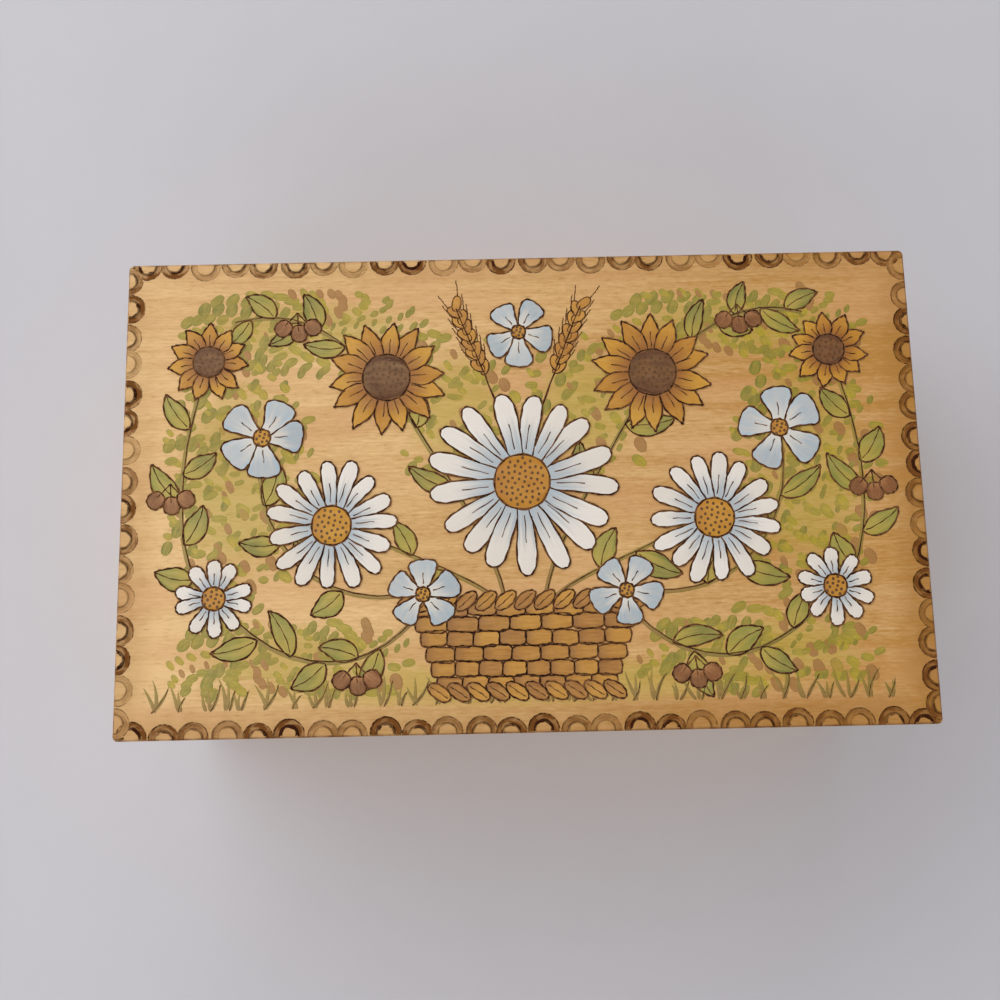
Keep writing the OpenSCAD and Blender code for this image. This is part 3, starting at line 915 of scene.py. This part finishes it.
# Wheat ears and berries
# Grains of wheat in ochre, pressed with a small brush on both sides of burnt stalks, with burnt awns.
# Brown berries hang by threes from the sprays.
EAR = ((3, 12), (6, 21), (9, 28), (13, 38))
EAR_GRAINS = 13
EAR_SPAN = (18, 38)
GRAIN_SIZE = (3.4, 1.8)
GRAIN_LEAN = 0.55
AWN_LENGTH = 3.5
BERRY_SPRAYS = ((45, 37), (33, -34), (70, 2))
BERRY_HEADINGS = np.array((-2.3, -1.5, -0.8))
BERRY_D = 3.6
BERRY_STALK = 4.4
GRAIN_RIM_HALF = 0.15
AWN_HALF = 0.1
GRAIN_OCHRE = ((204, 146, 54), (166, 106, 40), (146, 90, 40))
BERRY_BROWN = ((134, 80, 50), (100, 58, 38), (168, 112, 74))
grains, berries = [], []
for side in (-1, 1):
    ear = bezier(np.array(EAR) * (side, 1), 2 * STEPS)
    at = np.linspace(*EAR_SPAN, EAR_GRAINS).astype(int)
    lean = np.where(np.arange(EAR_GRAINS) % 2, GRAIN_LEAN, -GRAIN_LEAN)
    heading = np.arctan2(*np.gradient(ear, axis=0)[at, ::-1].T) + lean
    ears = ovals(ear[at] + 1.1 * bearing(heading), heading, *GRAIN_SIZE)
    tips = ear[at] + 2.6 * bearing(heading)
    awns = blade(tips, heading - 0.5 * lean, np.full(EAR_GRAINS, AWN_LENGTH), -0.2 * lean)
    grains.append(brushed(ears, ON_WASH, side))
    outlines.append((*showing(rims(ears), ears, GRAIN_RIM_HALF), ON_WASH + LINE_LIFT))
    hatching.append((awns, AWN_HALF, ON_WASH + LINE_LIFT))
    hatching.append((ear[None, ::2], FINE_HALF, ON_WASH + LINE_LIFT))
    for x, y in BERRY_SPRAYS:
        root = np.full((3, 2), (side * x, y))
        stalks = blade(root, BERRY_HEADINGS, np.full(3, BERRY_STALK), np.full(3, 0.3))
        fruit = ovals(stalks[:, -1], BERRY_HEADINGS, BERRY_D, 0.94 * BERRY_D, STEPS)
        berries.append(brushed(fruit, ON_LEAVES, x))
        outlines.append((*showing(rims(fruit), fruit, FINE_HALF), ON_LEAVES + LINE_LIFT + JUST_OVER))
        hatching.append((stalks[:, :14], STALK_HALF, ON_LEAVES))
paint("wheat_grains", grains, FILM, paint_finish("grain_ochre", GRAIN_OCHRE, 0.88))
paint("berries", berries, FILM, paint_finish("berry_brown", BERRY_BROWN, 0.9))

# Flowers
# Blue and ochre flowers first and white daisies over them, in body paint that covers the wood.
# Each petal is one stroke from the heart outwards, and the hearts are dotted with the point of the brush.
PETAL = (0.5 + 0.5 * REACH) * np.sqrt(1 - REACH ** 6) + 0.02
ROUND_PETAL = (0.3 + 0.7 * np.sin(REACH ** 1.4 * np.pi / 2)) * np.sqrt(1 - REACH ** 8) + 0.02
POINTED_PETAL = (0.5 + 0.5 * np.sin(REACH * np.pi)) * (1 - REACH ** 4) + 0.02
PETAL_FILL = 0.93
PETAL_ROOT = 0.8
# Flowers by their distance from the middle line, height on the lid, radius and number of petals
DAISIES = ((0, 1, 18.5, 17), (38, -7, 13, 15), (61, -21, 7.5, 10))
OCHRES = ((27, 23, 12, 14), (63, 27, 8, 11))
BLUES = ((52, 11, 8.5, 5), (20, -21, 7, 5), (0, 32, 7, 5))
# The section of a heart, which is laid on thick to its rim
HEART = np.array([(1.0, -0.02), (0.97, 0.012), (0.5, 0.02), (-0.5, 0.02), (-0.97, 0.012), (-1.0, -0.02),
                  (0.0, -0.05)])
HEART_LIFT = 0.03
HEART_RIM_HALF = 0.24
SEED_D = 0.6
SEED_LIFT = 0.02
SEED_REACH = 0.88
SEEDS_LEAST = 5
SEEDS_PER_MM = 1.6
PETAL_BLUE = ((198, 208, 212), (164, 182, 192), (222, 222, 216))
PETAL_OCHRE = ((214, 160, 54), (178, 116, 38), (140, 80, 34))
PETAL_WHITE = ((243, 238, 230), (228, 220, 208), (176, 190, 198))
HEART_YELLOW = ((208, 152, 50), (178, 116, 38), (172, 110, 38))
HEART_BROWN = ((104, 64, 42), (80, 48, 32), (76, 44, 30))
SEED_DARK = ((78, 46, 28), (58, 34, 22), (64, 38, 24))


def petals(middle, radius, inner, count, shape, key):
    """Petals round a heart: middle lines and half widths, each a little off its even place and length."""
    heading = 2 * np.pi * (np.arange(count) + 0.1 * unplanned(count, key)) / count + key
    length = (radius - inner) * (1 + 0.06 * unplanned(count, key + 1))
    room = np.pi * (0.7 * radius + 0.3 * inner) / count
    half = PETAL_FILL * room * (1 + 0.06 * unplanned(count, key + 4))
    paths = blade(middle + inner * bearing(heading), heading, length, 0.3 * unplanned(count, key + 2))
    return paths, half[:, None] * shape


heart_yellow = paint_finish("heart_yellow", HEART_YELLOW, 0.92)
heart_brown = paint_finish("heart_brown", HEART_BROWN, 0.92)
petal_blue = paint_finish("petal_blue", PETAL_BLUE, 0.94)
petal_ochre = paint_finish("petal_ochre", PETAL_OCHRE, 0.9)
petal_white = paint_finish("petal_white", PETAL_WHITE, 0.99)
# Kinds of flowers by their petals' shape, heart as a share of the radius, layer and paints
kinds = (("blue", BLUES, ROUND_PETAL, 0.2, ON_BASKET, petal_blue, heart_yellow),
         ("ochre", OCHRES, POINTED_PETAL, 0.4, ON_BASKET + JUST_OVER, petal_ochre, heart_brown),
         ("daisy", DAISIES, PETAL, 0.3, ON_FLOWERS, petal_white, heart_yellow))
seeds = []
for kind, flowers, shape, core, lift, petal_paint, heart_paint in kinds:
    rings, hearts = [], []
    for x, y, radius, count in flowers:
        for side in ((-1, 1) if x else (1,)):
            key = x + radius + 0.3 * side
            middle = np.array((side * x, y))
            heart_r = core * radius
            ring = petals(middle, radius, PETAL_ROOT * heart_r, count, shape, key)
            heart = ovals(middle[None], 0.0, 2 * heart_r, 2 * heart_r, STEPS)
            rings.append(brushed(ring, lift, key))
            hearts.append(brushed(heart, lift + HEART_LIFT, key))
            number = int(SEEDS_PER_MM * heart_r ** 2) + SEEDS_LEAST
            dots = ovals(middle + spread(number, SEED_REACH * heart_r), 0.0, SEED_D, SEED_D)
            seeds.append(brushed(dots, lift + HEART_LIFT + SEED_LIFT, key))
            outlines.append((*showing(rims(ring), ring, RIM_HALF), lift + LINE_LIFT))
            hatching.append((*showing(ring[0][:, 2:8], ring, HATCH_HALF), lift + LINE_OVER))
            outlines.append((rims(heart), HEART_RIM_HALF, lift + HEART_LIFT + LINE_LIFT))
    paint(kind + "_petals", rings, FILM, petal_paint)
    paint(kind + "_hearts", hearts, HEART, heart_paint)
paint("heart_seeds", seeds, STAIN, paint_finish("seed_dark", SEED_DARK, 0.94))

# Burnt drawing
# Outlines drawn with the hot wire of a burning iron, which dwells here and there and leaves darker dots.
# The line is dark brown in the middle and light brown at its sides, where the wood is only scorched.
LINE_CHAR = (48, 27, 18)
LINE_SCORCH = (150, 104, 62)
DWELL_SPOTS = (1300, 2.0, 0.6)
OUTLINE_STEPS = 40
HATCH_STEPS = 12
HAND_SHAKE = 0.045
WIDTH_SHAKE = 0.28
# The section of a burnt line
GROOVE = np.array([(1.0, -0.02), (0.5, 0.016), (-0.5, 0.016), (-1.0, -0.02), (0.0, -0.05)])


def drawn(paths, half, lift, points):
    """Lines brought to the same number of points, with an uneven hand in their course and their width."""
    count, steps = paths.shape[:2]
    at = np.linspace(0, steps - 1.001, points)
    low = at.astype(int)
    share = (at - low)[:, None]
    lines = np.concatenate([paths, np.broadcast_to(half, (count, steps))[..., None]], axis=-1)
    lines = lines[:, low] * (1 - share) + lines[:, low + 1] * share
    path = lines[..., :2]
    phase = 40 * unplanned(count, 2)[:, None]
    shake = np.sin(0.62 * at + phase) + np.sin(1.7 * at + 2 * phase)
    width = lines[..., 2] * (1 + WIDTH_SHAKE * np.sin(1.3 * at + 3 * phase))
    return path + sideways(path) * (HAND_SHAKE * shake)[..., None], width, np.full(count, lift)


burnt_line, start, shader = new_finish("burnt_line", CHARRED)
across, tone = start.marks("across", "tone")
dwell = start.place().noise(*DWELL_SPOTS)
core = 1 - abs(across).step(0.4, 1.0)
dark = core * (0.5 + dwell.step(0.3, 0.7) * 0.7) * (0.85 + tone * 0.35)
dark.clamped().mix(LINE_SCORCH, LINE_CHAR).into(shader, "Base Color")
drawings = (("burnt_outlines", outlines, OUTLINE_STEPS), ("burnt_hatching", hatching, HATCH_STEPS))
for name, lines, points in drawings:
    columns = zip(*(drawn(*line, points) for line in lines))
    paths, half, lift = (np.concatenate(column) for column in columns)
    tones = 0.5 + 0.5 * unplanned(len(paths), 6)
    lay_strokes(name, stroke_points(paths, half, lift, GROOVE), GROOVE, tones, burnt_line)

# Table
# A plain pale table top, faintly mottled and rippled, which the box stands on.
# Far off it fades into the colour of the room.
TABLE = (205, 204, 209)
TABLE_MOTTLE = (178, 176, 181)
MOTTLE = (60, 4.0, 0.6)
RIPPLES = (900, 2.0, 0.5)
RIPPLE_RELIEF = (0.12, 0.1 * MM)
ROOM = (226, 225, 229)
TABLE_SIZE = 12.0
TABLE_DROP = 0.1 * MM
FADE = (0.2, 0.95)


def seen(start):
    """1 where a surface is looked at, straight or by mirror or glass, and 0 where it only lights."""
    rays = ("Is Camera Ray", "Is Glossy Ray", "Is Transmission Ray")
    straight, mirrored, through = (start.node("LightPath", output=ray) for ray in rays)
    return (straight + mirrored + through).clamped()


table_finish, start, shader = new_finish("table_top", {"Roughness": 0.85, "Specular IOR Level": 0.15})
place = start.place()
(place.noise(*MOTTLE) * 0.12).mix(TABLE, TABLE_MOTTLE).into(shader, "Base Color")
place.noise(*RIPPLES).bump(shader, *RIPPLE_RELIEF)
away = start.node("VectorMath", {"operation": "LENGTH"}, {0: place}, "Value")
haze = start.node("Emission", {}, {"Color": srgb(ROOM)})
far = away.step(*FADE) * seen(start)
faded = start.node("MixShader", {}, {0: far, 1: Wire(start.tree, shader.outputs[0]), 2: haze})
faded.into(start.tree.nodes["Material Output"], "Surface")
corners = np.array([(-1, -1, 0), (1, -1, 0), (1, 1, 0), (-1, 1, 0)]) * TABLE_SIZE / 2
table_points = corners - (0, 0, TABLE_DROP)
new_piece("table_top", table_points, [(0, 1, 2, 3)], table_finish)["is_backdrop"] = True

# Light
# Soft daylight from a wide window behind to the left, and weaker light from three other sides.
# The room itself gives an even, low light from all round.
ROOM_LIGHT = 0.4
LIT_POINT = np.array((0.0, 0.0, 0.03))


def window(name, place, wide, high, power):
    """A soft lamp, level and oblong, that faces the middle of the box."""
    lamp = bpy.data.lights.new(name, "AREA")
    lamp.shape = "RECTANGLE"
    lamp.size = wide
    lamp.size_y = high
    lamp.energy = power
    made = put(name, lamp)
    made.location = place
    aim = LIT_POINT - np.array(place)
    tilt = np.arccos(-aim[2] / np.linalg.norm(aim))
    made.rotation_euler = (tilt, 0.0, np.arctan2(aim[1], aim[0]) - np.pi / 2)


window("window_left", (-0.85, 0.9, 0.75), 3.2, 1.2, 27.0)
window("room_front", (-0.4, -1.3, 0.8), 1.8, 0.9, 8.5)
window("ceiling", (-0.1, -0.1, 1.2), 1.2, 1.2, 1.2)
window("wall_right", (1.1, -0.3, 0.14), 0.9, 0.24, 3.0)
world = bpy.data.worlds.new("room")
world.use_nodes = True
start = Wire(world.node_tree)
lit = start.node("Background", {}, {"Color": srgb(ROOM), "Strength": ROOM_LIGHT})
wall = start.node("Background", {}, {"Color": srgb(ROOM)})
room = start.node("MixShader", {}, {0: seen(start), 1: lit, 2: wall})
room.into(world.node_tree.nodes["World Output"], "Surface")
bpy.context.scene.world = world

# Camera
# A view from just in front of straight above, about a quarter of a metre over the table.
# Its place and turn follow from where the four corners of the lid lie in the picture.
LENS_MM = 36.0
SENSOR_MM = 36.0
CAMERA_NEAR = 0.01
CAMERA_PLACE = (-0.00522, -0.03272, 0.25669)
CAMERA_TURN = np.radians((8.712, -0.027, -1.226))
camera = bpy.data.cameras.new("camera")
camera.lens = LENS_MM
camera.sensor_width = SENSOR_MM
camera.clip_start = CAMERA_NEAR
viewer = put("camera", camera)
viewer.location = CAMERA_PLACE
viewer.rotation_euler = CAMERA_TURN
bpy.context.scene.camera = viewer
bpy.context.scene.view_settings.view_transform = "Standard"

low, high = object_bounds()
